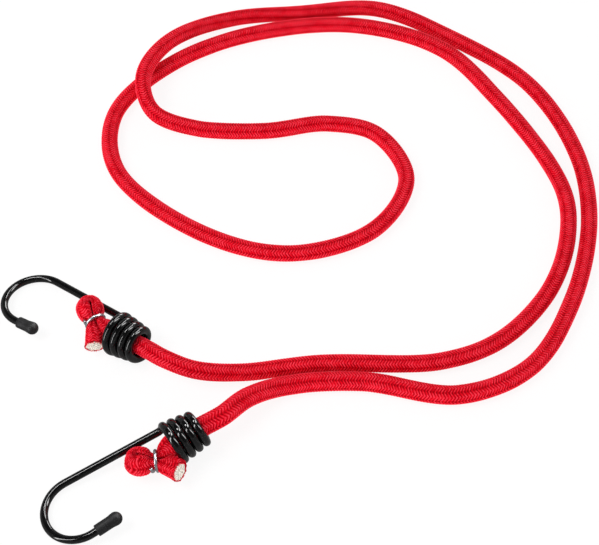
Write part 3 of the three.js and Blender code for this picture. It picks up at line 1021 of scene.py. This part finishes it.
def makeCrimp(end):
    ring, loop, toLeg = knobFrame(end)[:3]
    across = loop.cross(-toLeg)
    points = []
    for i in range(crimp["steps"] + 1):
        turns = crimp["turns"] * (i / crimp["steps"] - 0.5)
        angle = 2 * math.pi * turns + math.pi
        points.append(
            ring + loop * (crimp["lead"] * turns - crimp["setback"])
            + (-toLeg * math.cos(angle) + across * math.sin(angle)) * crimp["radius"]
        )
    toFrame = hookPlace[end] @ Matrix.Scale(mm, 4)
    radii = [crimp["wire"]] * len(points)
    return bentWire("crimpRing" + end.upper(), points, radii, crimp["sides"], zinc, toFrame)


for end in "ab":
    knobPiece, tail, tailAlong = makeKnob(end)
    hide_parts("end_loop_" + end)
    corePiece = makeCore(end, tail, tailAlong)
    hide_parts("end_core_" + end)
    crimpPiece = makeCrimp(end)
    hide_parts("crimp_ring_" + end)
    for piece in (knobPiece, corePiece, crimpPiece):
        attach(piece, "end_" + end)
print("knobs tied")


# Studio: a white sweep, one soft lamp from the left that shades the cord, and five panels that are
# only seen as glints and streaks on the coated wire

studio = {
    "floorLevel": -0.1 * mm,
    "sweepRadius": 4.0,
    "sweepCorner": 1.0,
    "sweepHeight": 2.5,
    "sweepFlat": 1.0,
    "sweepCornerSteps": 8,
    "sweepSteps": 64,
    "paper": "#F2F2F2",
    "paperShadow": (0.13, 0.13, 0.13, 1),
    "white": (1, 1, 1, 1),
    "worldStrength": 0.47,
    "worldInGloss": 0.08,
    "floorGlow": 0.89,
    "floorInGloss": 0.22,
    "floorBounce": 0.42,     # what the surface adds to the light from below
    "lamps": [
        # name, place, size across, size along, watts, whether it is only seen as a glint
        ("overheadSoftbox", (-0.5, -0.1, 0.9), 0.5, 0.4, 4.8, False),
        ("leftPanel", (-0.85, -0.55, 0.6), 0.18, 1.5, 11.0, True),
        ("rightPanel", (0.9, 0.2, 0.8), 0.25, 0.8, 8.0, True),
        ("rearPanel", (-0.25, 0.42, 1.19), 0.5, 0.15, 6.5, True),
        ("rearStrip", (0.5, 0.74, 0.97), 0.22, 0.84, 10.0, True),
        ("backPanel", (0.48, 1.26, 0.36), 0.5, 0.34, 6.0, True),
    ],
}


def litPaper(tree, colour, glowColour, strength):  # takes shadows, and glows by itself as well
    paper = addNode(tree, "ShaderNodeBsdfDiffuse", {"Color": colour})
    glow = addNode(tree, "ShaderNodeEmission", {"Color": glowColour, "Strength": strength})
    return addNode(tree, "ShaderNodeAddShader", {0: paper.outputs[0], 1: glow.outputs[0]}).outputs[0]


def makeSweep(setup):
    material = bpy.data.materials.new("whitePaper")
    material.use_nodes = True
    tree = material.node_tree
    tree.nodes.clear()
    path = addNode(tree, "ShaderNodeLightPath")
    glossy = path.outputs["Is Glossy Ray"]
    seen = maths(tree, "ADD", path.outputs["Is Camera Ray"], glossy)
    seen = addNode(tree, "ShaderNodeMath", {0: seen, 1: path.outputs["Is Transmission Ray"]},
                   operation="ADD", use_clamp=True).outputs[0]
    level = ramp(tree, glossy, (0.0, 1.0, setup["floorGlow"], setup["floorInGloss"]))
    white = litPaper(tree, setup["paperShadow"], setup["white"], level)
    lit = litPaper(tree, hexColour(setup["paper"]), setup["white"], setup["floorBounce"])
    both = addNode(tree, "ShaderNodeMixShader", {0: seen, 1: lit, 2: white})
    addNode(tree, "ShaderNodeOutputMaterial", {"Surface": both.outputs[0]})

    bm = bmesh.new()
    reach, corner = setup["sweepRadius"], setup["sweepCorner"]
    profile = [(0, 0), (setup["sweepFlat"], 0), (reach - corner, 0)]
    for i in range(1, setup["sweepCornerSteps"] + 1):
        angle = math.pi / 2 * i / setup["sweepCornerSteps"]
        profile.append((reach - corner + corner * math.sin(angle), corner - corner * math.cos(angle)))
    profile.append((reach, setup["sweepHeight"]))
    verts = [bm.verts.new((x, 0, z + setup["floorLevel"])) for x, z in profile]
    edges = [bm.edges.new(pair) for pair in zip(verts, verts[1:])]
    bmesh.ops.spin(bm, geom=verts + edges, cent=(0, 0, 0), axis=(0, 0, 1), angle=2 * math.pi,
                   steps=setup["sweepSteps"], use_merge=True)
    bmesh.ops.remove_doubles(bm, verts=bm.verts[:], dist=1e-6)
    bmesh.ops.recalc_face_normals(bm, faces=bm.faces[:])
    sweep = newPiece("sweep", bm, material)


def makeLamps(setup):
    for name, place, across, along, watts, glint in setup["lamps"]:
        data = bpy.data.lights.new(name, "AREA")
        data.shape = "RECTANGLE"
        data.size, data.size_y = across, along
        data.energy = watts
        lamp = bpy.data.objects.new(name, data)
        lamp.location = place
        lamp.visible_diffuse = not glint
        lamp.visible_glossy = glint
        aim = Vector(cameraView["target"]) - Vector(place)
        lamp.rotation_euler = aim.to_track_quat("-Z", "Y").to_euler()
        bpy.context.scene.collection.objects.link(lamp)
    world = bpy.data.worlds.new("studio")
    world.use_nodes = True
    tree = world.node_tree
    path = addNode(tree, "ShaderNodeLightPath")
    limits = (0.0, 1.0, setup["worldStrength"], setup["worldInGloss"])
    level = ramp(tree, path.outputs["Is Glossy Ray"], limits)
    connect(tree, tree.nodes["Background"], {"Color": setup["white"], "Strength": level})
    bpy.context.scene.world = world


makeSweep(studio)
makeLamps(studio)
bpy.context.scene.view_settings.view_transform = "Standard"
print("studio set")
